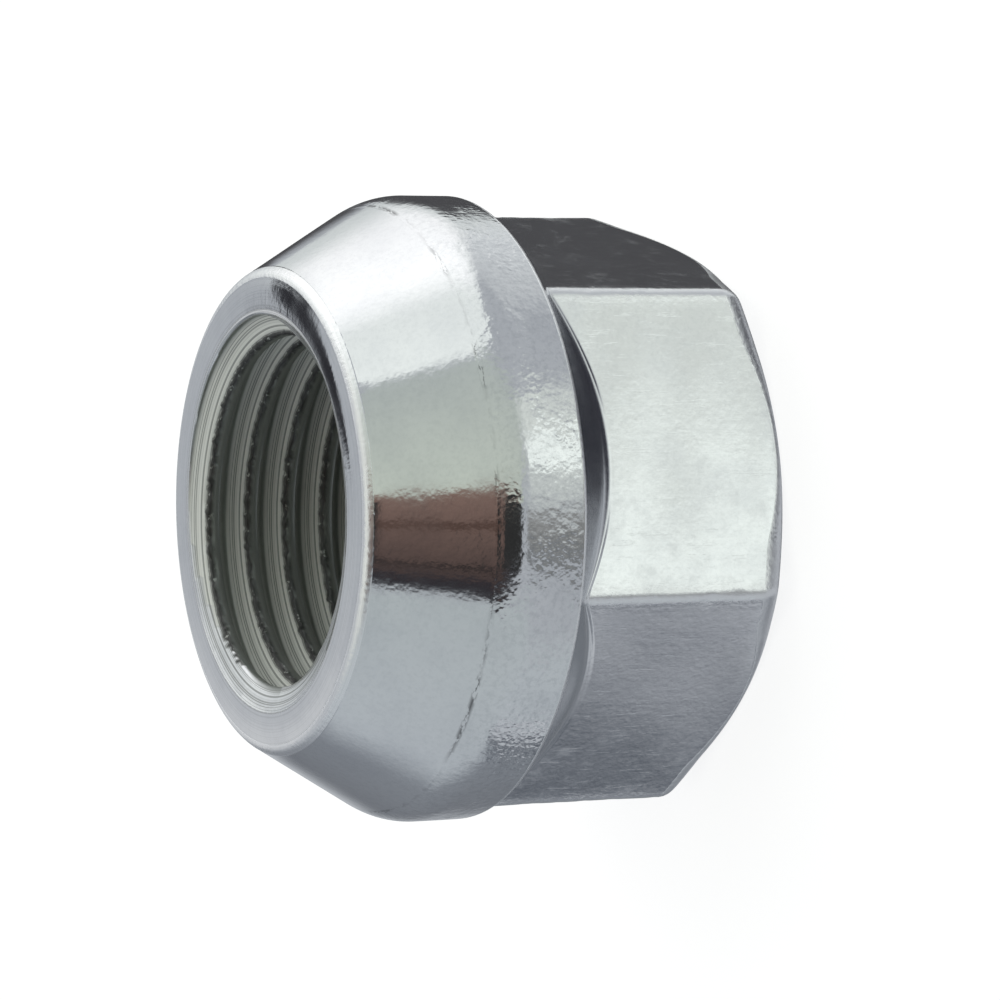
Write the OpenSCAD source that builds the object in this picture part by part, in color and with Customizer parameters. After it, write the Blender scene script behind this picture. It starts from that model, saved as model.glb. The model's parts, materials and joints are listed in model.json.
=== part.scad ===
// Open-ended lug nut: hex drive, round collar and conical wheel seat, forged and threaded as one piece.
// Millimetres, +Z up. The nut stands on its hex end at z = 0 and its thread runs along the Z axis.

/* [Thread] */
// Nominal diameter of the thread
thread_d = 14; // [12:0.5:15]
// Pitch of the thread
thread_pitch = 1.5; // [1:0.25:1.75]
// Height of a crest above the end face, on the +X side
thread_start = 1.15; // [0:0.05:1.5]
// How much wider than the thread each countersunk mouth is
mouth_extra = 0.2; // [0:0.1:1.2]
// Included angle of the countersunk mouths
mouth_angle = 140; // [90:5:150]

/* [Hex drive] */
// Width of the hexagon across its flats
hex_af = 19; // [18:0.5:22]
// Height from the end face to the rear edge of the collar
hex_h = 8.7; // [7:0.1:14]
// Rounding of the six long edges of the hexagon
hex_edge_r = 0.4; // [0.2:0.1:0.8]
// How far inside the flats the end chamfer starts
end_inset = 0.25; // [0.1:0.05:0.6]
// Angle of the end chamfer from the end face
end_angle = 25; // [20:1:45]

/* [Collar] */
// How far the collar stands out past the hexagon's corners
collar_over = 0.25; // [0.1:0.05:1.2]
// Length of the collar, measured between its sharp corners
collar_h = 2.45; // [1.8:0.05:5]
// Angle of the shoulder behind the collar, from the axis
shoulder_angle = 45; // [35:1:60]
// Rounding of the rear edge of the collar
collar_edge_r = 0.3; // [0.1:0.1:0.6]

/* [Seat] */
// Included angle of the conical wheel seat
seat_angle = 60; // [50:1:64]
// Height of the seat, measured between its sharp corners
seat_h = 4.55; // [3.5:0.05:5]
// Rounding between the collar and the seat
seat_edge_r = 1; // [0.5:0.1:2.4]
// Rounding of the nose edge, where the seat meets the front face
nose_edge_r = 1.1; // [0.2:0.1:1.4]

/* [Hidden] */
// Chords in a small and in a wide rounding, sides of a full circle, and overlap of joined solids
small_steps = 4;
wide_steps = 6;
round_fn = 96;
lap = 1;
// Steps in which the thread climbs one pitch, and the degrees that a step overlaps the next and starts past +X
thread_steps = 12;
step_lap = 2;
step_offset = 4;

// The hexagon: distance of its sharp and of its rounded corners from the axis
hex_flat_r = hex_af / 2;
hex_sharp_r = hex_flat_r / cos(30);
hex_corner_r = (hex_flat_r - hex_edge_r) / cos(30) + hex_edge_r;

// Heights and radii of the collar and the seat
collar_r = hex_corner_r + collar_over;
seat_z = hex_h + collar_h;
nut_h = seat_z + seat_h;
nose_r = collar_r - seat_h * tan(seat_angle / 2);
nose_flat_r = nose_r - nose_edge_r * tan(45 - seat_angle / 4);

// The shoulder starts inside the hexagon, so it rises out of the flats first and the corners last
shoulder_r = hex_flat_r - lap;
shoulder_z = hex_h - (collar_r - shoulder_r) / tan(shoulder_angle);

// The thread's crests lie on its core, and each mouth stays clear of the rounded nose edge
groove_r = thread_d / 2;
core_r = groove_r - 0.541266 * thread_pitch;
mouth_r = min((thread_d + mouth_extra) / 2, nose_flat_r - 0.2);

function unit(v) = v / norm(v);

// The corner b of the outline a, b, c as an arc of radius r in n chords
function rounded(a, b, c, r, n) =
    let (
        u = unit(a - b),
        w = unit(c - b),
        half = acos(u * w) / 2,
        centre = b + unit(u + w) * r / sin(half),
        first = b + u * r / tan(half) - centre,
        last = b + w * r / tan(half) - centre,
        start = atan2(first.y, first.x),
        turn = (atan2(last.y, last.x) - start + 540) % 360 - 180
    )
    [for (i = [0:n]) centre + r * [cos(start + turn * i / n), sin(start + turn * i / n)]];

function hex_point(k) = hex_sharp_r * [cos(60 * k), sin(60 * k)];

module hex_section() {
    polygon([
        for (k = [0:5])
            each rounded(hex_point(k - 1), hex_point(k), hex_point(k + 1), hex_edge_r, small_steps)
    ]);
}

module hex_drive() {
    end_r = hex_flat_r - end_inset;
    wide_r = hex_sharp_r + lap;
    top = hex_h + collar_h / 2;
    intersection() {
        linear_extrude(top) hex_section();
        rotate_extrude($fn = round_fn)
            polygon([
                [0, 0],
                [end_r, 0],
                [wide_r, (wide_r - end_r) * tan(end_angle)],
                [wide_r, top],
                [0, top]
            ]);
    }
}

module collar_and_seat() {
    foot = [shoulder_r, shoulder_z];
    rear = [collar_r, hex_h];
    edge = [collar_r, seat_z];
    nose = [nose_r, nut_h];
    centre = [0, nut_h];
    rotate_extrude($fn = round_fn)
        polygon([
            [0, shoulder_z],
            foot,
            each rounded(foot, rear, edge, collar_edge_r, small_steps),
            each rounded(rear, edge, nose, seat_edge_r, wide_steps),
            each rounded(edge, nose, centre, nose_edge_r, small_steps),
            centre
        ]);
}

// One side of the thread's outline, past both ends of the nut, with the middle of a crest at height start
function thread_side(start) = [
    for (z = [start - thread_pitch * ceil((start + lap) / thread_pitch):thread_pitch:nut_h + lap])
        each [
            [core_r, z - thread_pitch / 8],
            [core_r, z + thread_pitch / 8],
            [groove_r, z + thread_pitch * 7 / 16],
            [groove_r, z + thread_pitch * 9 / 16]
        ]
];

// A right-hand thread, cut sector by sector because only plain turned surfaces stay exact
module thread_cut() {
    sector = 360 / thread_steps + step_lap;
    for (k = [0:thread_steps - 1]) {
        from = k * 360 / thread_steps + step_offset;
        side = thread_side(thread_start + thread_pitch * (from + sector / 2) / 360);
        rotate(from)
            rotate_extrude(angle = sector, $fn = round_fn)
                polygon([[core_r - lap, side[0].y], each side, [core_r - lap, side[len(side) - 1].y]]);
    }
}

// The bore inside the crests, and a cone that narrows inwards from each end
module core_and_mouths() {
    cone_r = mouth_r + lap * tan(mouth_angle / 2);
    cone_h = cone_r / tan(mouth_angle / 2);
    translate([0, 0, -lap])
        cylinder(r = core_r - lap / 2, h = nut_h + 2 * lap, $fn = round_fn);
    translate([0, 0, -lap])
        cylinder(r1 = cone_r, r2 = 0, h = cone_h, $fn = round_fn);
    translate([0, 0, nut_h + lap - cone_h])
        cylinder(r1 = 0, r2 = cone_r, h = cone_h, $fn = round_fn);
}

module lug_nut() {
    color("silver")
        difference() {
            union() {
                hex_drive();
                collar_and_seat();
            }
            core_and_mouths();
            thread_cut();
        }
}

lug_nut();
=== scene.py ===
# %% [markdown]
# # A lug nut in bright zinc
#
# A lug nut holds a wheel on its stud. This one is open at both ends: a hexagon for the wrench, a round
# collar, a cone that centres the wheel, and a thread right through. It is forged and tapped as one piece of
# steel, so the lesson makes one closed mesh. Its outside is a profile carried round the axis, its inside is
# a strip that climbs like the thread does, and both meet at the two mouths of the bore.

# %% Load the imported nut
import json
import math

import bpy
import numpy as np
from mathutils import Matrix, Quaternion, Vector


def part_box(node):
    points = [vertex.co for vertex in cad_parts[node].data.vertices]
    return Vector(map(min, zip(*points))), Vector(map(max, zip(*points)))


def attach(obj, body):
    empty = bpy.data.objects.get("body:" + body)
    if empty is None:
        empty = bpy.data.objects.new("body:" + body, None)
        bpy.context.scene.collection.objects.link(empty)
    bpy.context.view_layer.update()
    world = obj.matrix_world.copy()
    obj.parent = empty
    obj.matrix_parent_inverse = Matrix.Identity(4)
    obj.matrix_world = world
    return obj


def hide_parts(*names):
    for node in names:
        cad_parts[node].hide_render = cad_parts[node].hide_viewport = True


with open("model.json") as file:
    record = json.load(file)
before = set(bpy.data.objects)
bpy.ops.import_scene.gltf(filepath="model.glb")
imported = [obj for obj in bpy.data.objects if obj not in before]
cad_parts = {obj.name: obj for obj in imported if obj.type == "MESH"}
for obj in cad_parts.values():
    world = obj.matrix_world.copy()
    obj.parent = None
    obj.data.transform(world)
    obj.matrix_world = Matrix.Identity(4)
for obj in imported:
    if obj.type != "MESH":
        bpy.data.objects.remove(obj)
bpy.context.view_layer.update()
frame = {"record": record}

# %% [markdown]
# ## Sizes
#
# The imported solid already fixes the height, the collar and the thread's core, so those are read from the
# frame. The other sizes repeat the values that shaped the solid. All lengths here are millimetres, and the
# mesh is turned into metres once, at the end.

# %% Sizes in millimetres
MM = 0.001
low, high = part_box("lug_nut")
NUT_H = (high[2] - low[2]) / MM
COLLAR_R = min(high[0] - low[0], high[1] - low[1]) / MM / 2
thread_mount = next(m for m in frame["record"]["mounts"] if m["name"] == "thread")
CORE_R = thread_mount["dims"]["r_mm"]
CORE_H = thread_mount["dims"]["length_mm"]

HEX_FLAT_R = 9.5
HEX_EDGE_R = 0.4
HEX_H = 8.7
COLLAR_H = 2.45
END_R = 9.25
END_SLOPE = math.tan(math.radians(25))
SHOULDER_SLOPE = math.tan(math.radians(45))
SEAT_SLOPE = math.tan(math.radians(30))
MOUTH_SLOPE = math.tan(math.radians(70))
PITCH = 1.5
THREAD_START = 1.15
# Depth of a metric thread in pitches: five eighths of the height of a triangle with three equal sides
THREAD_DEPTH = 0.541266
MAJOR_R = CORE_R + THREAD_DEPTH * PITCH

SEAT_Z = HEX_H + COLLAR_H
NOSE_R = COLLAR_R - (NUT_H - SEAT_Z) * SEAT_SLOPE
MOUTH_H = (NUT_H - CORE_H) / 2
MOUTH_R = CORE_R + MOUTH_H * MOUTH_SLOPE
print(f"height {NUT_H:.2f}, collar {2 * COLLAR_R:.2f}, nose {2 * NOSE_R:.2f}, mouth {2 * MOUTH_R:.2f}")

# %% [markdown]
# ## Columns round the nut
#
# Every row of the mesh has the same columns, so rows join without gaps. The hexagon's six edges are rounded
# over less than half a millimetre while its flats are plain, so evenly spaced columns would be too coarse at
# the edges or wasted on the flats. So each sixth of the turn has a fine stretch at its edge and a wider one
# over its flat.

# %% Column angles and the hexagon
EDGE_SPAN = 2.1
EDGE_COLUMNS, FLAT_COLUMNS = 15, 37


def column_angles():
    """Angles of the columns: in each sixth of the turn, evenly over the edge's span of degrees on both sides
    of a corner, and then evenly over the flat up to the next corner's span."""
    at_edge = np.linspace(-EDGE_SPAN, EDGE_SPAN, EDGE_COLUMNS)
    on_flat = np.linspace(EDGE_SPAN, 60 - EDGE_SPAN, FLAT_COLUMNS + 1)[1:-1]
    side = np.concatenate([at_edge, on_flat])
    return np.radians(np.arange(6)[:, None] * 60 + side).ravel()


def corner_offset(theta):
    """Angle from the nearest corner of the hexagon, between -30 and 30 degrees, in radians."""
    return (theta + math.pi / 6) % (math.pi / 3) - math.pi / 6


def hex_radius(theta):
    """Distance of the rounded hexagon from the axis. On a flat it is the flat's distance over the cosine of
    the angle from the flat's middle; near a corner it is where the ray meets the rounding's circle."""
    a = np.abs(corner_offset(theta))
    centre = (HEX_FLAT_R - HEX_EDGE_R) / math.cos(math.pi / 6)
    flat = HEX_FLAT_R / np.cos(math.pi / 6 - a)
    arc = centre * np.cos(a) + np.sqrt(np.maximum(HEX_EDGE_R**2 - (centre * np.sin(a)) ** 2, 0))
    end = math.atan2(HEX_EDGE_R / 2, centre + HEX_EDGE_R * math.cos(math.pi / 6))
    return np.where(a < end, arc, flat)


THETA = column_angles()
HEX_R = hex_radius(THETA)
COLUMNS = len(THETA)
print(f"{COLUMNS} columns, hexagon {HEX_R.min():.2f} to {HEX_R.max():.2f} from the axis")

# %% [markdown]
# ## The outside as a profile
#
# A lathe would cut the collar, the cone and the faces, and a die forms the hexagon. Either way the outside is
# a chain of straight stretches with rounded corners, drawn in the half-plane through the axis. Only the
# corners on the hexagon change from column to column, so each corner is an array with one point per column
# and the same two functions make all of it. A Bevel modifier could round the corners too, but here each
# rounding keeps its own radius. Some corners also carry wear that the solid leaves out: the hexagon's end is
# worn down a little at its six corners, the nose has lost its edge and is faintly domed, and a fine step
# shows where the turned seat meets the forged collar.

# %% Arcs and straight stretches
def unit(v):
    """Vectors of length one, along the last axis."""
    return v / np.linalg.norm(v, axis=-1, keepdims=True)


def rounded(before, corner, after, radius, steps):
    """The corner of an outline as an arc. Its centre lies on the bisector, radius over the sine of half the
    angle away, and its points turn evenly from one tangent point to the other."""
    u, w = unit(before - corner), unit(after - corner)
    half = np.arccos(np.clip((u * w).sum(axis=-1, keepdims=True), -1, 1)) / 2
    centre = corner + unit(u + w) * radius / np.sin(half)
    first = corner + u * radius / np.tan(half) - centre
    last = corner + w * radius / np.tan(half) - centre
    turn = math.pi - 2 * half
    t = np.linspace(0, 1, steps + 1)[:, None, None]
    return centre + (np.sin((1 - t) * turn) * first + np.sin(t * turn) * last) / np.sin(turn)


def between(start, end, shares):
    """Rows on the straight stretch from start to end, at these shares of its length."""
    t = np.asarray(shares)[:, None, None]
    return start + (end - start) * t


def corner_row(radius, height):
    """One corner of the outline for every column: its distance from the axis and its height."""
    return np.stack(np.broadcast_arrays(radius, height, THETA), axis=-1)[:, :2].astype(float)


square = [np.array([point], dtype=float) for point in ((0, 1), (0, 0), (1, 0))]
print("a square corner as an arc:", rounded(*square, radius=0.5, steps=2).round(3).tolist())

# %% The outline's corners
RIM_DEPTH = 0.03
CROWN_R = 7.6
CROWN_SLOPE = math.tan(math.radians(5))
# Millimetres off the nose's edge, slope added at the hexagon's corners, and the place and depth of the step
NOSE_WEAR = 0.1
CORNER_WEAR = 0.05
RING_WIDTH, RING_CUT = 0.78, 0.008
# Shares of a stretch at which its rows lie
SHORT = (0.04, 0.5, 0.96)
LONG = (0.01, 0.12, 0.3, 0.5, 0.7, 0.88, 0.99)
FLAT = np.concatenate([[0.006], np.linspace(0.02, 0.98, 36), [0.994]])

rim_r = MOUTH_R - RIM_DEPTH * MOUTH_SLOPE
crown_fall = (NOSE_R - CROWN_R) * CROWN_SLOPE
ring_sin, ring_cos = unit(np.array([SEAT_SLOPE, 1.0]))
CORNERS = {
    "rear_mouth": corner_row(rim_r, RIM_DEPTH),
    "rear_rim": corner_row(MOUTH_R, 0),
    "end_edge": corner_row(END_R, 0),
    "hex_end": corner_row(HEX_R, (HEX_R - END_R) * (END_SLOPE + CORNER_WEAR)),
    "hex_root": corner_row(HEX_R, HEX_H - (COLLAR_R - HEX_R) / SHOULDER_SLOPE),
    "collar_rear": corner_row(COLLAR_R, HEX_H),
    "collar_front": corner_row(COLLAR_R, SEAT_Z),
    "seat_start": corner_row(COLLAR_R - RING_WIDTH * ring_sin - RING_CUT, SEAT_Z + RING_WIDTH * ring_cos),
    "nose": corner_row(NOSE_R + crown_fall * SEAT_SLOPE - NOSE_WEAR, NUT_H - crown_fall),
    "crown": corner_row(CROWN_R, NUT_H),
    "front_rim": corner_row(MOUTH_R, NUT_H),
    "front_mouth": corner_row(rim_r, NUT_H - RIM_DEPTH),
}
# Radius and chords of each rounding. The hex end is rounded least on the flats and most at the corners, and
# the hex root the other way round, each between its smallest and its largest radius
END_ROUND = (0.22, 0.95)
ROOT_ROUND = (0.2, 0.7)
end_round = np.clip(1.1 * (HEX_R - END_R - 0.06), *END_ROUND)[:, None]
root_round = np.clip(0.4 * (COLLAR_R - HEX_R) + 0.05, *ROOT_ROUND)[:, None]
ROUNDING = {
    "rear_rim": (0.14, 4),
    "end_edge": (0.25, 4),
    "hex_end": (end_round, 6),
    "hex_root": (root_round, 9),
    "collar_rear": (0.15, 4),
    "collar_front": (2.4, 10),
    "seat_start": (28.0, 4),
    "nose": (0.5, 7),
    "crown": (9.0, 8),
    "front_rim": (0.14, 4),
}
# Stretch that leads to each corner: its finish and the rows on it
STRETCH = {
    "rear_rim": ("mouth", SHORT),
    "end_edge": ("face", LONG),
    "hex_end": ("chamfer", SHORT),
    "hex_root": ("flat", FLAT),
    "collar_rear": ("shoulder", SHORT),
    "collar_front": ("collar", LONG),
    "seat_start": ("ring", SHORT),
    "nose": ("seat", LONG),
    "crown": ("face", SHORT),
    "front_rim": ("face", SHORT),
    "front_mouth": ("mouth", SHORT),
}
# Hollow and very wide roundings, where no edge is worn
SOFT_CORNERS = ("hex_root", "collar_front", "seat_start", "crown")


def outline_rows():
    """All rows of the outside from the rear mouth to the front mouth, with the finish of each row, a mark on
    the rows that lie on a worn edge and a mark where the turned seat meets the forged collar: a squared sine
    that is 1 in the middle of that rounding."""
    names = list(CORNERS)
    rows, finishes, edges, joins = [CORNERS[names[0]][None]], ["mouth"], [0.0], [0.0]
    for back, here, ahead in zip(names, names[1:], names[2:] + [None]):
        finish, shares = STRETCH[here]
        if ahead:
            radius, steps = ROUNDING[here]
            arc = rounded(CORNERS[back], CORNERS[here], CORNERS[ahead], radius, steps)
        else:
            arc = CORNERS[here][None]
        straight = between(rows[-1][-1], arc[0], shares)
        rows += [straight, arc]
        finishes += [finish] * len(straight) + [finish if not ahead else STRETCH[ahead][0]] * len(arc)
        worn = 1.0 if ahead and here not in SOFT_CORNERS else 0.0
        edges += [0.0] * len(straight) + [worn] * len(arc)
        step = np.sin(math.pi * np.linspace(0, 1, len(arc))) ** 2 * (here == "seat_start")
        joins += [0.0] * len(straight) + step.tolist()
    return np.concatenate(rows), finishes, np.array(edges), np.array(joins)


outline, row_finish, row_edge, row_join = outline_rows()
print(f"{len(outline)} rows on the outside")

# %% [markdown]
# ## Wear and unevenness
#
# A nut that was tumbled in a plating barrel with hundreds of others isn't perfect. Its hex edges carry small
# nicks, and its faces are very slightly uneven, which is what bends the reflections. Both are worked out here
# as real dents in the mesh. A few long waves of random direction give the unevenness, and each nick is a
# small bell-shaped hollow on an edge. Forging also leaves the flats slightly crowned, and they roll off
# towards the end face. Everything moves inwards, so the nut never grows past its solid.

# %% Dents in the outside
rng = np.random.default_rng(27)


def ripple(theta, z, count, turns, waves):
    """Smooth unevenness between about -1 and 1: the sum of count waves over the root of count, each with its
    own whole number of turns round the nut, waves per millimetre along it, and phase."""
    total = np.zeros(np.broadcast(theta, z).shape)
    for _ in range(count):
        around = rng.integers(-turns, turns + 1)
        along = rng.uniform(-waves, waves) * 2 * math.pi
        total += np.cos(around * theta + along * z + rng.uniform(0, 2 * math.pi))
    return total / math.sqrt(count)


FLAT_DENT, ROUND_DENT, DEEPEST_DENT = 0.012, 0.006, 0.2
ROLL, ROLL_LENGTH = 0.05, 0.8
FLAT_CROWN = 0.035
NICKS_PER_EDGE = 9
# Least and most of each nick's place along its edge, depth, length and width, and how far aside it may sit
NICK_PLACE = (0.9, HEX_H - 0.6)
NICK_DEPTH, NICK_LENGTH, NICK_WIDTH = (0.008, 0.025), (0.06, 0.2), (0.1, 0.2)
NICK_ASIDE = 0.12
# Radians on both sides of an edge in which its nicks lie
EDGE_REACH = 0.4
radius, height = outline[..., 0].copy(), outline[..., 1].copy()
theta_grid = np.broadcast_to(THETA, radius.shape)
on_flat = np.array([f in ("flat", "chamfer") for f in row_finish])[:, None]
on_round = np.array([f in ("collar", "ring", "seat", "shoulder") for f in row_finish])[:, None]
not_face = np.array([f not in ("face", "mouth") for f in row_finish])[:, None]

dent = FLAT_DENT * (1 + ripple(theta_grid, height, 18, 9, 0.35)) * on_flat
dent += ROUND_DENT * (1 + ripple(theta_grid, height, 20, 14, 0.3)) * on_round
from_middle = np.tan(math.pi / 6 - np.abs(corner_offset(theta_grid))) / math.tan(math.pi / 6)
dent += FLAT_CROWN * from_middle**2 * on_flat
end_height = CORNERS["hex_end"][:, 1]
roll = ROLL * (1 - np.clip((height - end_height) / ROLL_LENGTH, 0, 1)) ** 2
dent += roll * np.clip(height / end_height, 0, 1) * on_flat
for edge in range(6):
    across = corner_offset(theta_grid) * radius
    from_edge = (theta_grid - math.radians(60 * edge) + math.pi) % (2 * math.pi) - math.pi
    own_edge = np.abs(from_edge) < EDGE_REACH
    for _ in range(NICKS_PER_EDGE):
        place = rng.uniform(*NICK_PLACE)
        depth = rng.uniform(*NICK_DEPTH)
        length, width = rng.uniform(*NICK_LENGTH), rng.uniform(*NICK_WIDTH)
        side = rng.uniform(-NICK_ASIDE, NICK_ASIDE)
        bell = np.exp(-(((height - place) / length) ** 2) - ((across - side) / width) ** 2)
        dent += depth * bell * own_edge * on_flat
radius -= np.clip(dent, 0, DEEPEST_DENT) * not_face
print(f"deepest dent {dent.max():.3f} mm, mean {dent.mean():.3f} mm")

# %% [markdown]
# ## The thread
#
# The inside is a right-hand metric thread. A Screw modifier could sweep it, but then its ends would have to
# be cut and welded to the mouths. Here the rows of the strip climb one pitch in each turn, so every crest and
# groove runs along a row and stays crisp. Rows that would pass an end of the bore are pinched to the ring of
# points there, and the faces that shrink to nothing are dropped. The tap leaves torn crests, so the rows on
# the crest wander a little.

# %% Rows that climb with the thread
# Places of the rows in one pitch, counted downwards from the middle of a crest
PLACES = np.array([
    0, 0.09, 0.125, 0.16, 0.3, 0.41, 0.46, 0.5, 0.54, 0.59, 0.66, 0.73, 0.79, 0.84, 0.875, 0.91
])
CREST_END, ROOT_START = 0.125, 0.4375
# Places where the torn edge of a crest and the flank above it start, are full, stay full and end
BURR_SPAN = (0.79, 0.85, 0.9, 0.94)
FLANK_SPAN = (0.5, 0.58, 0.82, 0.86)
RISE_AND_FALL = (0, 1, 1, 0)
# How far torn crests wander, how far the thread is cut past a mouth, and how near an end a row is pinched
TEAR, CUT_MARGIN, PINCH = 0.05, 0.01, 1e-4


def thread_depth(place):
    """Share of the thread's depth, 0 on the crest and 1 in the groove: flat crest, straight flank, rounded
    root, by the distance from the nearest crest's middle."""
    d = np.abs(place - np.round(place))
    return np.interp(d, [0, 0.1, CREST_END, 0.42, ROOT_START, 0.5], [0, 0, 0.03, 0.92, 0.97, 1])


def mouth_radius(z):
    """Radius of the nearer countersunk mouth at this height: the core's radius, plus the slope times how far
    the height lies past the core's end."""
    past = np.maximum(z - (NUT_H - MOUTH_H), MOUTH_H - z)
    return CORE_R + past * MOUTH_SLOPE


z_top, z_foot = NUT_H - RIM_DEPTH, RIM_DEPTH
first_crest = THREAD_START + PITCH * math.ceil((z_top - THREAD_START) / PITCH + 0.5)
turns = math.ceil((first_crest - z_foot) / PITCH + 1.5)
place = (np.arange(turns)[:, None] + PLACES).ravel()
thread_z = first_crest + PITCH * (THETA / (2 * math.pi) - place[:, None])
phase = place % 1
burr = np.interp(phase, BURR_SPAN, RISE_AND_FALL)[:, None]
flank = np.interp(phase, FLANK_SPAN, RISE_AND_FALL)[:, None]
spiral = THETA - 2 * math.pi * place[:, None]
tear = ripple(spiral * 3, thread_z, 40, 44, 1.2) * burr
tear_z = ripple(spiral * 3, thread_z, 40, 36, 1.0) * burr
thread_r = CORE_R + (MAJOR_R - CORE_R) * thread_depth(place)[:, None] + TEAR * np.abs(tear)
thread_r = np.maximum(thread_r, mouth_radius(thread_z))
in_cut = thread_r > mouth_radius(thread_z) + CUT_MARGIN
above, below = thread_z >= z_top - PINCH, thread_z <= z_foot + PINCH
thread_z = np.clip(thread_z + TEAR * tear_z * in_cut, z_foot, z_top)
print(f"{turns - 1} turns of thread, {len(place)} rows")

# %% [markdown]
# ## One closed mesh
#
# The outside and the strip share the two rings at the mouths, so together they close like a tube bent into a
# ring. Numbering the points is all it takes: rows of four-sided faces outside, rows of four-sided faces
# inside that step down one pitch where the strip comes round to its start, and triangles where rows are
# pinched. The signed volume says whether the faces point outwards.

# %% Points and faces
def polar(radius, z, theta):
    """Points in metres from the distance to the axis, the height and the angle."""
    x, y, z = np.broadcast_arrays(radius * np.cos(theta), radius * np.sin(theta), z)
    return np.stack([x, y, z], axis=-1).reshape(-1, 3) * MM


outer_ids = np.arange(radius.size).reshape(radius.shape)
inside = ~(above | below)
thread_ids = np.full(thread_z.shape, -1)
thread_ids[inside] = radius.size + np.arange(inside.sum())
thread_ids = np.where(above, outer_ids[-1], np.where(below, outer_ids[0], thread_ids))
points = np.concatenate([
    polar(radius, height, theta_grid),
    polar(thread_r, thread_z, np.broadcast_to(THETA, thread_z.shape))[inside.ravel()],
])


def next_column(ids, first_rows):
    """The same rows one column further round. The last column meets the first column's rows."""
    return np.concatenate([ids[:, 1:], first_rows[:, None]], axis=1)


def quads(ids, ids_round):
    """Four corners of each face between neighbouring rows and columns."""
    return np.stack([ids[:-1], ids_round[:-1], ids_round[1:], ids[1:]], axis=-1).reshape(-1, 4)


pitch_rows = len(PLACES)
thread_first = np.concatenate([np.full(pitch_rows, outer_ids[-1, 0]), thread_ids[:-pitch_rows, 0]])
faces = np.concatenate([
    quads(outer_ids, next_column(outer_ids, outer_ids[:, 0])),
    quads(thread_ids, next_column(thread_ids, thread_first)),
])
ordered = np.sort(faces, axis=1)
whole = (ordered[:, 1:] != ordered[:, :-1]).all(axis=1)
halves = np.concatenate([faces[~whole][:, [0, 1, 2]], faces[~whole][:, [0, 2, 3]]])
halves = halves[(halves != np.roll(halves, 1, axis=1)).all(axis=1)]
triangles = np.concatenate([faces[whole][:, [0, 1, 2]], faces[whole][:, [0, 2, 3]], halves])
a, b, c = (points[triangles[:, k]] for k in range(3))
volume = (np.cross(a, b) * c).sum() / 6 / MM**3
print(f"{len(points)} points, {len(triangles)} triangles, volume {volume:.0f} cubic millimetres")

# %% What the surface is like
# Roughness of each finish, and how strongly drawn lines, orange peel, lathe rings and dark lines show on it
ROUGH = {"flat": 0.11, "chamfer": 0.16, "shoulder": 0.18, "collar": 0.13, "ring": 0.12, "seat": 0.08}
ROUGH |= {"face": 0.05, "mouth": 0.2}
DRAWN = {"flat": 1.0, "chamfer": 0.25}
PEEL = {"collar": 1.0, "ring": 0.8, "shoulder": 0.2, "chamfer": 0.6, "seat": 0.3, "flat": 0.25}
PEEL |= {"face": 0.1, "mouth": 0.3}
TURNED = {"face": 0.15, "mouth": 1.6, "seat": 0.1}
LINES = {"mouth": 1.0, "face": 0.12}
MARK_BLUR = 0.12
EDGE_WEAR_WIDTH = 0.3
# Values on the thread, and what its flanks add to them
THREAD_ROUGH, FLANK_ROUGH = 0.35, 0.2
THREAD_METAL, FLANK_METAL = 0.5, -0.5
THREAD_TURNED, FLANK_TURNED = 1.0, 1.5
THREAD_PEEL = 0.3


def point_values(outside, in_thread):
    """One number per point, from a value for each row or point outside and each point of the thread."""
    outside = np.broadcast_to(np.reshape(outside, (len(row_finish), -1)), radius.shape)
    in_thread = np.broadcast_to(in_thread, thread_z.shape)
    return np.concatenate([outside.ravel(), in_thread[inside]]).astype(np.float32)


row_step = np.linalg.norm(np.diff(outline, axis=0), axis=-1).mean(axis=1)
row_place = np.concatenate([[0], np.cumsum(row_step)])
nearness = np.exp(-(((row_place[:, None] - row_place) / MARK_BLUR) ** 2)) * np.gradient(row_place)
nearness /= nearness.sum(axis=1, keepdims=True)


def by_finish(table):
    """The table's value for the finish of every row outside, averaged over its neighbours by a bell of their
    distance along the outline, so that one finish runs into the next."""
    return nearness @ [table.get(finish, 0.0) for finish in row_finish]


hex_edge = np.exp(-((corner_offset(theta_grid) * radius / EDGE_WEAR_WIDTH) ** 2)) * on_flat
nowhere = np.zeros(len(row_finish))
thread_metal = np.where(in_cut, THREAD_METAL + FLANK_METAL * flank, 1.0)
MARKS = {
    "rough": point_values(by_finish(ROUGH), THREAD_ROUGH + FLANK_ROUGH * flank),
    "metal": point_values(np.ones(len(row_finish)), thread_metal),
    "drawn": point_values(by_finish(DRAWN), 0.0),
    "peel": point_values(by_finish(PEEL), THREAD_PEEL),
    "turned": point_values(by_finish(TURNED), THREAD_TURNED + FLANK_TURNED * flank),
    "edge": point_values(np.maximum(hex_edge, row_edge[:, None]), 0.0),
    "join": point_values(row_join, 0.0),
    "lines": point_values(by_finish(LINES), 1.0),
    "cut": point_values(nowhere, in_cut),
    "flank": point_values(nowhere, flank * in_cut),
    "burr": point_values(nowhere, burr * in_cut),
}
print("marks on the points:", ", ".join(MARKS))

# %% The nut
nut_mesh = bpy.data.meshes.new("lug_nut_body")
nut_mesh.from_pydata(points.tolist(), [], faces[whole].tolist() + halves.tolist())
nut_mesh.polygons.foreach_set("use_smooth", np.ones(len(nut_mesh.polygons), dtype=bool))
for name, values in MARKS.items():
    nut_mesh.attributes.new(name, "FLOAT", "POINT").data.foreach_set("value", values)
nut_mesh.validate()
nut_mesh.update()
nut = bpy.data.objects.new("lug_nut_body", nut_mesh)
bpy.context.scene.collection.objects.link(nut)
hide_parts("lug_nut")
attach(nut, "root")
print(f"mesh with {len(nut_mesh.polygons)} faces")

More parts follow.
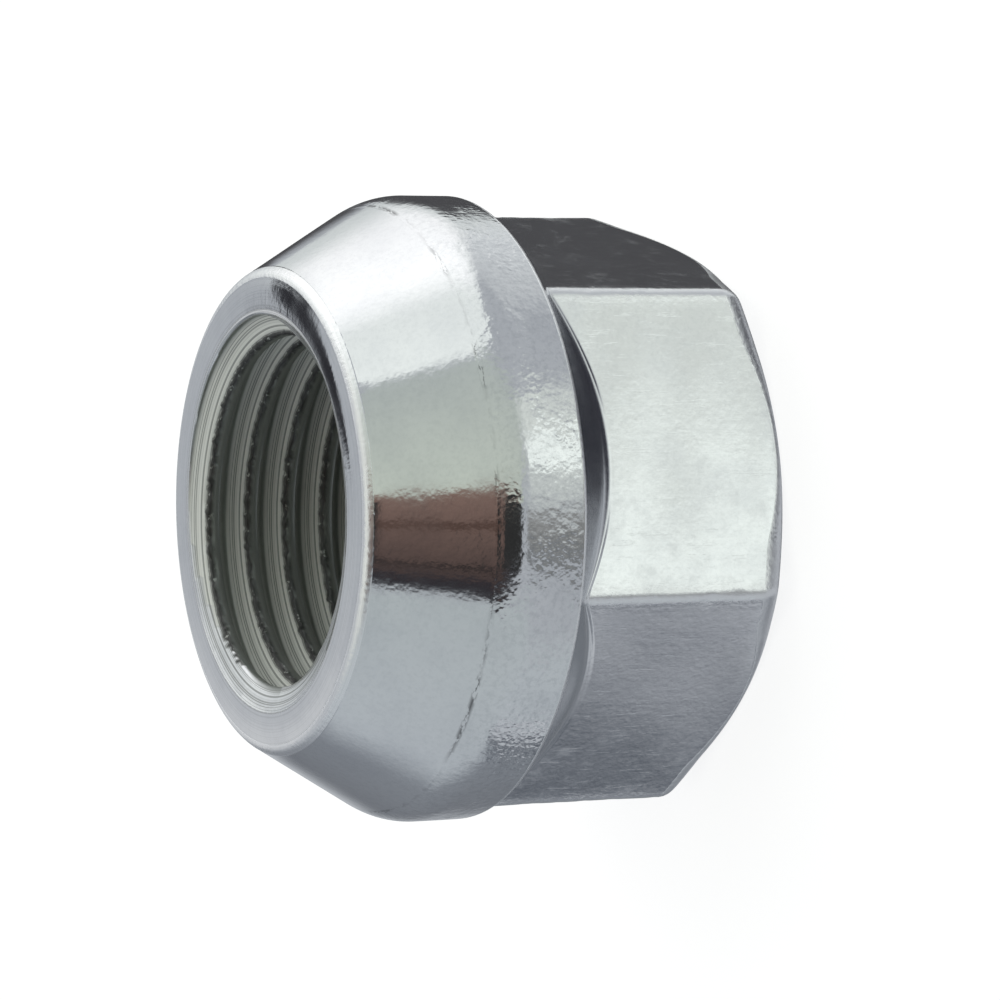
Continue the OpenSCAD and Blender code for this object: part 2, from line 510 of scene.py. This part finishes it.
# %% [markdown]
# ## Bright zinc
#
# The plating is a thin, bluish, shiny skin that copies the steel under it. Most of its bands of light and
# dark belong to the surroundings, so the shader is a metal and the surface detail does much of the rest:
# drawn lines, scuffs and dull patches along the hexagon's flats, a crumpled and grainy forging skin on the
# collar, rings from the lathe on the faces, and pale worn edges. Some light and shade is painted into the
# colour: the worn edges are partly a painted highlight, a broken line of painted dark reflection runs where
# the seat starts, and the thread is duller, with painted shade on its crests, painted light on its flanks and
# painted shadow at its torn crests. Heights are written in thousandths of a millimetre, which makes each bump
# easy to judge.

# %% Helpers for nodes
def add(tree, kind, inputs=(), **settings):
    """A node of this kind with its settings. Inputs are given by name or number: a value, or a socket to
    link from."""
    node = tree.nodes.new(kind)
    for name, value in settings.items():
        setattr(node, name, value)
    for key, value in dict(inputs).items():
        if isinstance(value, bpy.types.NodeSocket):
            tree.links.new(value, node.inputs[key])
        else:
            node.inputs[key].default_value = value
    return node


def math_node(tree, operation, *values):
    """The result of one Math node."""
    return add(tree, "ShaderNodeMath", enumerate(values), operation=operation).outputs[0]


def vector_node(tree, operation, *values):
    """The vector result of one Vector Math node."""
    return add(tree, "ShaderNodeVectorMath", enumerate(values), operation=operation).outputs[0]


def number_node(tree, operation, *values):
    """The number that one Vector Math node gives, such as a length or a dot product."""
    return add(tree, "ShaderNodeVectorMath", enumerate(values), operation=operation).outputs["Value"]


def noise(tree, vector, scale, detail, roughness=0.5):
    """Noise between about 0 and 1, scale in features per millimetre."""
    settings = {"Vector": vector, "Scale": scale, "Detail": detail, "Roughness": roughness}
    return add(tree, "ShaderNodeTexNoise", settings).outputs["Fac"]


def attribute(tree, name):
    """A number stored on the mesh's points."""
    return add(tree, "ShaderNodeAttribute", attribute_name=name).outputs["Fac"]


def blend_colours(tree, share, first, second):
    """The first colour where share is 0, the second where it is 1."""
    node = add(tree, "ShaderNodeMix", {"Factor": share}, data_type="RGBA")
    for socket, value in ((node.inputs[6], first), (node.inputs[7], second)):
        if isinstance(value, bpy.types.NodeSocket):
            tree.links.new(value, socket)
        else:
            socket.default_value = value
    return node.outputs[2]


def spread(tree, value, low, high, to_low, to_high, kind="SMOOTHSTEP"):
    """The value's range from low to high carried to another range, and held at its ends."""
    settings = {0: value, 1: low, 2: high, 3: to_low, 4: to_high}
    return add(tree, "ShaderNodeMapRange", settings, interpolation_type=kind).outputs[0]


print("helpers for nodes are ready")

# %% The zinc and the patterns on it
zinc = bpy.data.materials.new("zinc_plated_steel")
zinc.use_nodes = True
zinc_tree = zinc.node_tree
zinc_marks = {name: attribute(zinc_tree, name) for name in MARKS}


def zinc_places(tree):
    """Places in millimetres on the surface, by the distance from the axis alone and by the direction round
    it, and the noises that more than one part of the finish uses."""
    place = add(tree, "ShaderNodeTexCoord").outputs["Object"]
    in_mm = vector_node(tree, "SCALE", place)
    in_mm.node.inputs["Scale"].default_value = 1 / MM
    flat_xy = vector_node(tree, "MULTIPLY", in_mm, (1.0, 1.0, 0.0))
    from_axis = number_node(tree, "LENGTH", flat_xy)
    return {
        "surface": in_mm,
        "ring": add(tree, "ShaderNodeCombineXYZ", {"X": from_axis}).outputs[0],
        "around": vector_node(tree, "NORMALIZE", flat_xy),
        "blotch": noise(tree, in_mm, 0.45, 4, 0.6),
        "patch": spread(tree, noise(tree, in_mm, 0.3, 2), 0.48, 0.62, 0.15, 1),
        "speck": noise(tree, in_mm, 5, 3, 0.6),
    }


zinc_patterns = zinc_places(zinc_tree)
print("patterns on the zinc:", ", ".join(zinc_patterns))

# %% Relief of the zinc
MICRON = 1e-6
# Features per millimetre across and along the axis
DRAWN_LINES = (7.0, 7.0, 0.16)
SCUFF_LINES = (5.0, 5.0, 0.6)


def zinc_relief(tree, mark, pattern):
    """A normal bumped by the sum of every kind of relief: its pattern, times the mark that says where it is,
    times its height in thousandths of a millimetre."""
    in_mm = pattern["surface"]
    drawn = noise(tree, vector_node(tree, "MULTIPLY", in_mm, DRAWN_LINES), 1.0, 4, 0.65)
    scuffs = noise(tree, vector_node(tree, "MULTIPLY", in_mm, SCUFF_LINES), 1.0, 4, 0.7)
    crumple = spread(tree, noise(tree, in_mm, 0.5, 1), 0.42, 0.58, 0.3, 1)
    forged = math_node(tree, "POWER", mark["peel"], 2.0)
    relief = (
        (noise(tree, in_mm, 2.4, 2), mark["peel"], 11.0),
        (noise(tree, in_mm, 6, 3), mark["peel"], 6.0),
        (math_node(tree, "MULTIPLY", crumple, noise(tree, in_mm, 4.5, 1.5)), forged, 36.0),
        (math_node(tree, "MULTIPLY", drawn, pattern["patch"]), mark["drawn"], 0.6),
        (spread(tree, scuffs, 0.60, 0.68, 1, 0), mark["drawn"], 1.0),
        (noise(tree, pattern["ring"], 11, 3), mark["turned"], 3.0),
        (noise(tree, pattern["around"], 45, 3), 1.0, 0.7),
        (noise(tree, in_mm, 6, 3), mark["edge"], 18.0),
        (pattern["speck"], mark["join"], 9.0),
        (noise(tree, in_mm, 8, 2), 1.0, 0.4),
    )
    total = 0.0
    for shape, where, height_um in relief:
        part = math_node(tree, "MULTIPLY", math_node(tree, "MULTIPLY", shape, where), height_um)
        total = math_node(tree, "ADD", part, total)
    bump = add(tree, "ShaderNodeBump", {"Height": total, "Distance": MICRON, "Strength": 1.0})
    return bump.outputs[0]


zinc_shader = zinc_tree.nodes["Principled BSDF"]
zinc_tree.links.new(zinc_relief(zinc_tree, zinc_marks, zinc_patterns), zinc_shader.inputs["Normal"])
print("zinc with relief:", len(zinc_tree.nodes), "nodes")

# %% Colour of the zinc
ZINC_LIGHT = (0.82, 0.835, 0.845, 1)
ZINC_DULL = (0.74, 0.755, 0.775, 1)
GRAIN_TONE = (0.58, 0.60, 0.62, 1)
# Paler tone of worn edges: partly wear and partly a painted highlight
WORN_EDGE_HIGHLIGHT_TONE = (0.93, 0.94, 0.95, 1)
# Painted shade on the thread's crests and painted light on its flanks
CREST_SHADE_TONE = (0.30, 0.32, 0.30, 1)
FLANK_LIGHT_TONE = (0.97, 0.98, 0.93, 1)
LINE_TONE = (0.22, 0.23, 0.22, 1)
# Painted shadow in the gap behind the torn edge of a crest
BURR_SHADOW_TONE = (0.03, 0.03, 0.03, 1)
# Painted dark reflection in a broken line where the seat starts
STEP_REFLECTION_TONE = (0.10, 0.10, 0.105, 1)
# Features per millimetre across and along the axis
STEP_REFLECTION_BREAKS = (1.6, 1.6, 6.0)


def zinc_colour(tree, mark, pattern):
    """Tones laid over each other, each by its own share: blotches, grain, worn edges that are partly a
    painted highlight, the broken line of painted dark reflection where the seat starts, the thread with
    painted shade on its crests and painted light on its flanks, lines in its mouths, and painted shadow at
    torn crests."""
    in_mm = pattern["surface"]
    colour = blend_colours(tree, spread(tree, pattern["blotch"], 0.35, 0.75, 0, 0.8), ZINC_LIGHT, ZINC_DULL)
    grain = spread(tree, noise(tree, in_mm, 5, 4, 0.7), 0.42, 0.68, 0, 0.5)
    grain = math_node(tree, "MULTIPLY", grain, spread(tree, mark["peel"], 0, 1, 0.15, 1, "LINEAR"))
    colour = blend_colours(tree, grain, colour, GRAIN_TONE)
    # Worn hex edges are made paler, partly wear and partly a painted highlight
    colour = blend_colours(tree, mark["edge"], colour, WORN_EDGE_HIGHLIGHT_TONE)
    # A broken line of painted dark reflection along the step where the seat starts
    broken_reflection = noise(tree, vector_node(tree, "MULTIPLY", in_mm, STEP_REFLECTION_BREAKS), 1.0, 4, 0.7)
    broken_reflection = math_node(tree, "MULTIPLY", spread(tree, broken_reflection, 0.47, 0.55, 0, 0.9), pattern["patch"])
    colour = blend_colours(tree, math_node(tree, "MULTIPLY", mark["join"], broken_reflection), colour, STEP_REFLECTION_TONE)
    # The thread's crests get painted shade and its flanks painted light
    thread = blend_colours(tree, mark["flank"], CREST_SHADE_TONE, FLANK_LIGHT_TONE)
    colour = blend_colours(tree, mark["cut"], colour, thread)
    line = spread(tree, noise(tree, pattern["ring"], 14, 2), 0.43, 0.52, 0.75, 0)
    colour = blend_colours(tree, math_node(tree, "MULTIPLY", mark["lines"], line), colour, LINE_TONE)
    # Painted shadow in specks behind the torn edges of the crests
    torn_shadow = math_node(tree, "MULTIPLY", mark["burr"], spread(tree, pattern["speck"], 0.3, 0.4, 0, 1))
    return blend_colours(tree, torn_shadow, colour, BURR_SHADOW_TONE)


zinc_tree.links.new(zinc_colour(zinc_tree, zinc_marks, zinc_patterns), zinc_shader.inputs["Base Color"])
print("zinc with relief and colour:", len(zinc_tree.nodes), "nodes")

# %% Roughness of the zinc
EDGE_ROUGH = 0.22


def zinc_roughness(tree, mark, pattern):
    """The roughness of the finish plus that of blotches, of worn edges and of dull patches on the flats."""
    rough = math_node(tree, "ADD", mark["rough"], spread(tree, pattern["blotch"], 0.3, 0.75, -0.02, 0.05))
    rough = math_node(tree, "ADD", rough, math_node(tree, "MULTIPLY", mark["edge"], EDGE_ROUGH))
    dull = spread(tree, noise(tree, pattern["surface"], 1.1, 5, 0.7), 0.5, 0.68, 0, 0.1)
    return math_node(tree, "ADD", rough, math_node(tree, "MULTIPLY", mark["drawn"], dull))


zinc_tree.links.new(zinc_roughness(zinc_tree, zinc_marks, zinc_patterns), zinc_shader.inputs["Roughness"])
zinc_tree.links.new(zinc_marks["metal"], zinc_shader.inputs["Metallic"])
nut.data.materials.append(zinc)
print("whole zinc:", len(zinc_tree.nodes), "nodes")

# %% [markdown]
# ## The camera
#
# The nut stands on its hex end, but it is seen lying down, with its nose to the left and towards the viewer.
# So the camera circles the standing nut, looks slightly down on the nose, and is rolled by about a quarter
# turn. A long lens from close to 16 centimetres keeps the hexagon's edges nearly parallel.

# %% Camera
IMAGE_PX = 1000
FOCAL_PX = 4500
SENSOR_MM = 36.0
CAMERA_AWAY = 161.8
CAMERA_TURN = math.radians(-102.8)
CAMERA_RISE = math.radians(26.28)
CAMERA_ROLL = math.radians(-91.13)
# The height on the axis that it aims at, and how far right of and above the picture's middle that sits
AIM_H = 7.65
FRAME_RIGHT, FRAME_UP = -1.096, -0.258


def camera_axes():
    """Right, up and backward axes of the camera: it faces the axis from its turn and rise, and is then
    turned about its own line of sight by the roll."""
    back = Vector((
        math.cos(CAMERA_RISE) * math.cos(CAMERA_TURN),
        math.cos(CAMERA_RISE) * math.sin(CAMERA_TURN),
        math.sin(CAMERA_RISE),
    ))
    side = Vector((0, 0, 1)).cross(back).normalized()
    rise = back.cross(side)
    right = side * math.cos(CAMERA_ROLL) + rise * math.sin(CAMERA_ROLL)
    return right, back.cross(right), back


RIGHT, UP, BACK = camera_axes()
aim = Vector((0, 0, AIM_H))
eye = (aim + BACK * CAMERA_AWAY - RIGHT * FRAME_RIGHT - UP * FRAME_UP) * MM
camera_data = bpy.data.cameras.new("camera")
camera_data.sensor_width = SENSOR_MM
camera_data.lens = SENSOR_MM * FOCAL_PX / IMAGE_PX
camera_data.clip_start = 0.005
camera_data.clip_end = 10.0
camera = bpy.data.objects.new("camera", camera_data)
turned_axes = Matrix((RIGHT, UP, BACK)).transposed().to_4x4()
camera.matrix_world = Matrix.Translation(eye) @ turned_axes
bpy.context.scene.collection.objects.link(camera)
bpy.context.scene.camera = camera
print(f"camera at {tuple(round(v, 4) for v in eye)}, lens {camera_data.lens:.0f} mm")

# %% [markdown]
# ## The studio
#
# Bright metal has no colour of its own to speak of: it shows the room. The room here is a pale tent with a
# large soft light above, a window at the right, and a few grey and dark cards, the way small shiny hardware
# is photographed. Area lamps could do this, but cards painted on the world stay soft, cost nothing to render
# and light the floor too. Directions are given as right, up and towards the camera, as the picture is seen.

# %% A card far away
# Share of a direction along a card's facing below which the card is out of sight
GRAZING = 0.02


def card_group():
    """Mask of a flat card far away: the direction over its share along the card's facing gives a place on
    the card, and smooth steps at half its width and half its height fade it out. Rise goes from 0 at the
    card's foot to 1 at its head."""
    group = bpy.data.node_groups.new("studio_card", "ShaderNodeTree")
    for name, kind in (
        ("Direction", "NodeSocketVector"),
        ("Facing", "NodeSocketVector"),
        ("Across", "NodeSocketVector"),
        ("Half width", "NodeSocketFloat"),
        ("Half height", "NodeSocketFloat"),
        ("Softness", "NodeSocketFloat"),
    ):
        group.interface.new_socket(name, in_out="INPUT", socket_type=kind)
    group.interface.new_socket("Mask", in_out="OUTPUT", socket_type="NodeSocketFloat")
    group.interface.new_socket("Rise", in_out="OUTPUT", socket_type="NodeSocketFloat")
    inputs = group.nodes.new("NodeGroupInput").outputs
    outputs = group.nodes.new("NodeGroupOutput").inputs

    facing = number_node(group, "DOT_PRODUCT", inputs["Direction"], inputs["Facing"])
    ahead = math_node(group, "MAXIMUM", facing, GRAZING)
    upright = vector_node(group, "CROSS_PRODUCT", inputs["Facing"], inputs["Across"])
    mask = math_node(group, "GREATER_THAN", facing, GRAZING)
    places = {}
    for axis, size in ((inputs["Across"], "Half width"), (upright, "Half height")):
        aside = number_node(group, "DOT_PRODUCT", inputs["Direction"], axis)
        places[size] = math_node(group, "DIVIDE", aside, ahead)
        inner = math_node(group, "SUBTRACT", inputs[size], inputs["Softness"])
        outer = math_node(group, "ADD", inputs[size], inputs["Softness"])
        fade = spread(group, math_node(group, "ABSOLUTE", places[size]), inner, outer, 1, 0)
        mask = math_node(group, "MULTIPLY", mask, fade)
    group.links.new(mask, outputs["Mask"])
    share = math_node(group, "DIVIDE", places["Half height"], inputs["Half height"])
    group.links.new(spread(group, share, -1, 1, 0, 1, "LINEAR"), outputs["Rise"])
    return group


studio_card = card_group()
print("card:", len(studio_card.nodes), "nodes")

# %% Cards on the world
# Each card: facing, tilt in degrees, half width, half height, softness, colour at its foot and at its head
TENT = (0.46, 0.48, 0.51, 1)
CARDS = {
    "below": ((-0.1, -0.97, 0.2), 0, 1.1, 1.0, 0.15, (0.50, 0.53, 0.57), (0.47, 0.51, 0.52)),
    "low_back": ((0.1, -0.74, -0.67), 0, 1.1, 0.5, 0.25, (0.26, 0.28, 0.31), (0.17, 0.18, 0.20)),
    "low_face": ((0.41, -0.862, -0.295), -55, 0.35, 0.1, 0.03, (0.0, 0.01, 0.03), (0.68, 0.70, 0.74)),
    "ceiling_right": ((0.35, 0.83, -0.44), 0, 0.62, 0.43, 0.06, (0.86, 0.89, 0.90), (0.55, 0.57, 0.59)),
    "ceiling_left": ((-0.5, 0.84, -0.2), 0, 0.78, 1.15, 0.05, (0.66, 0.69, 0.69), (1.0, 1.04, 1.01)),
    "ceiling_core": ((-0.46, 0.82, -0.33), 0, 0.65, 0.46, 0.25, (1.08, 1.08, 1.08), (1.35, 1.35, 1.35)),
    "front_wall": ((-0.12, 0.42, 0.9), 0, 0.76, 0.45, 0.03, (0.60, 0.65, 0.57), (0.48, 0.52, 0.50)),
    "window": ((0.76, 0.33, 0.56), 0, 0.3, 0.34, 0.14, (0.56, 0.59, 0.58), (0.80, 0.84, 0.79)),
    "window_core": ((0.77, 0.32, 0.55), 0, 0.26, 0.09, 0.05, (1.08, 1.14, 1.09), (1.05, 1.11, 1.06)),
    "strip_left": ((-0.3, -0.21, 0.93), 2, 0.85, 0.32, 0.025, (0.045, 0.035, 0.035), (0.23, 0.15, 0.125)),
    "strip_line": ((-0.3, -0.11, 0.947), 2, 0.85, 0.02, 0.012, (0.09, 0.055, 0.045), (0.09, 0.055, 0.045)),
    "strip_crease": ((-0.28, -0.36, 0.89), 2, 0.85, 0.014, 0.01, (0.03, 0.025, 0.025), (0.03, 0.025, 0.025)),
    "strip_foot": ((-0.27, -0.46, 0.845), 2, 0.85, 0.052, 0.02, (0.03, 0.03, 0.035), (0.035, 0.03, 0.035)),
    "strip_gap": ((0.15, -0.16, 0.975), 0, 0.29, 0.22, 0.03, (0.03, 0.03, 0.03), (0.03, 0.03, 0.03)),
    "strip_right": ((0.78, -0.18, 0.58), 0, 0.36, 0.15, 0.06, (0.17, 0.18, 0.19), (0.30, 0.30, 0.29)),
    "backdrop": ((0.2, 0.3, -0.94), 0, 0.42, 0.4, 0.05, (0.07, 0.07, 0.075), (0.08, 0.08, 0.085)),
    "backdrop_right": ((0.92, 0.36, -0.2), 0, 0.4, 0.19, 0.06, (0.035, 0.035, 0.045), (0.03, 0.03, 0.04)),
    "left_high": ((-0.87, 0.27, -0.42), 0, 0.3, 0.14, 0.06, (0.78, 0.80, 0.80), (1.05, 1.07, 1.05)),
    "left_fill": ((-0.92, -0.05, 0.38), 0, 0.35, 0.6, 0.2, (0.74, 0.76, 0.72), (0.74, 0.76, 0.72)),
    "left_low": ((-0.66, -0.2, -0.72), 0, 0.3, 0.12, 0.08, (0.68, 0.69, 0.70), (0.62, 0.63, 0.65)),
    "nose_flag": ((-0.798, 0.055, -0.60), 0, 0.045, 0.055, 0.008, (0.03, 0.03, 0.035), (0.03, 0.03, 0.035)),
}
# Share of a card's facing along the up axis past which it counts as overhead or underneath
OVERHEAD = 0.8


def studio_world():
    """World whose colour is the tent with every card laid over it by its mask, and plain white where the
    camera sees it directly."""
    world = bpy.data.worlds.new("studio")
    world.use_nodes = True
    tree = world.node_tree
    direction = add(tree, "ShaderNodeTexCoord").outputs["Generated"]
    parts = {}
    for name, axis in (("X", RIGHT), ("Y", UP), ("Z", BACK)):
        parts[name] = number_node(tree, "DOT_PRODUCT", direction, tuple(axis))
    seen = add(tree, "ShaderNodeCombineXYZ", parts).outputs[0]
    colour = TENT
    for name, (facing, tilt, half_width, half_height, softness, foot, head) in CARDS.items():
        facing = Vector(facing).normalized()
        level = Vector((0, 0, 1)) if abs(facing.y) > OVERHEAD else Vector((0, 1, 0))
        across = level.cross(facing).normalized()
        across.rotate(Quaternion(facing, math.radians(tilt)))
        node = add(tree, "ShaderNodeGroup", node_tree=studio_card, label=name)
        values = (tuple(facing), tuple(across), half_width, half_height, softness)
        tree.links.new(seen, node.inputs["Direction"])
        for socket, value in zip(list(node.inputs)[1:], values):
            socket.default_value = value
        shade = blend_colours(tree, node.outputs["Rise"], (*foot, 1), (*head, 1))
        colour = blend_colours(tree, node.outputs["Mask"], colour, shade)
    camera_ray = add(tree, "ShaderNodeLightPath").outputs["Is Camera Ray"]
    colour = blend_colours(tree, camera_ray, colour, (1, 1, 1, 1))
    tree.links.new(colour, tree.nodes["Background"].inputs["Color"])
    return world


bpy.context.scene.world = studio_world()
print("studio:", ", ".join(CARDS))

# %% [markdown]
# ## The floor
#
# The nut stands on a pale floor that reads as white paper. A plain white material would render grey under
# soft light, so the floor glows a little for the camera and the rest comes from the light that reaches it,
# which keeps the nut's soft shadow. The floor itself is hidden from the metal, because the flats and the
# collar would mirror nothing but white paper, and the photographed ones mirror a dim studio.

# %% Floor
FLOOR_HALF = 2.0
FLOOR_GLOW = 0.80
FLOOR_TONE = (0.42, 0.42, 0.42, 1)


def floor_material():
    """Diffuse paper plus a glow for the camera, and for mirrors and glass if the floor is shown to them."""
    material = bpy.data.materials.new("floor_paper")
    material.use_nodes = True
    tree = material.node_tree
    tree.nodes.remove(tree.nodes["Principled BSDF"])
    rays = add(tree, "ShaderNodeLightPath").outputs
    seen = math_node(tree, "MAXIMUM", rays["Is Camera Ray"], rays["Is Glossy Ray"])
    seen = math_node(tree, "MAXIMUM", seen, rays["Is Transmission Ray"])
    glow = add(tree, "ShaderNodeEmission", {"Strength": math_node(tree, "MULTIPLY", seen, FLOOR_GLOW)})
    paper = add(tree, "ShaderNodeBsdfDiffuse", {"Color": FLOOR_TONE})
    both = add(tree, "ShaderNodeAddShader", {0: glow.outputs[0], 1: paper.outputs[0]})
    tree.links.new(both.outputs[0], tree.nodes["Material Output"].inputs["Surface"])
    return material


floor_mesh = bpy.data.meshes.new("floor")
corners = [(x * FLOOR_HALF, y * FLOOR_HALF, 0) for x, y in ((-1, -1), (1, -1), (1, 1), (-1, 1))]
floor_mesh.from_pydata(corners, [], [(0, 1, 2, 3)])
floor_mesh.materials.append(floor_material())
floor = bpy.data.objects.new("floor", floor_mesh)
floor.visible_glossy = False
bpy.context.scene.collection.objects.link(floor)
bpy.context.scene.view_settings.view_transform = "Standard"
print("floor", 2 * FLOOR_HALF, "m across")
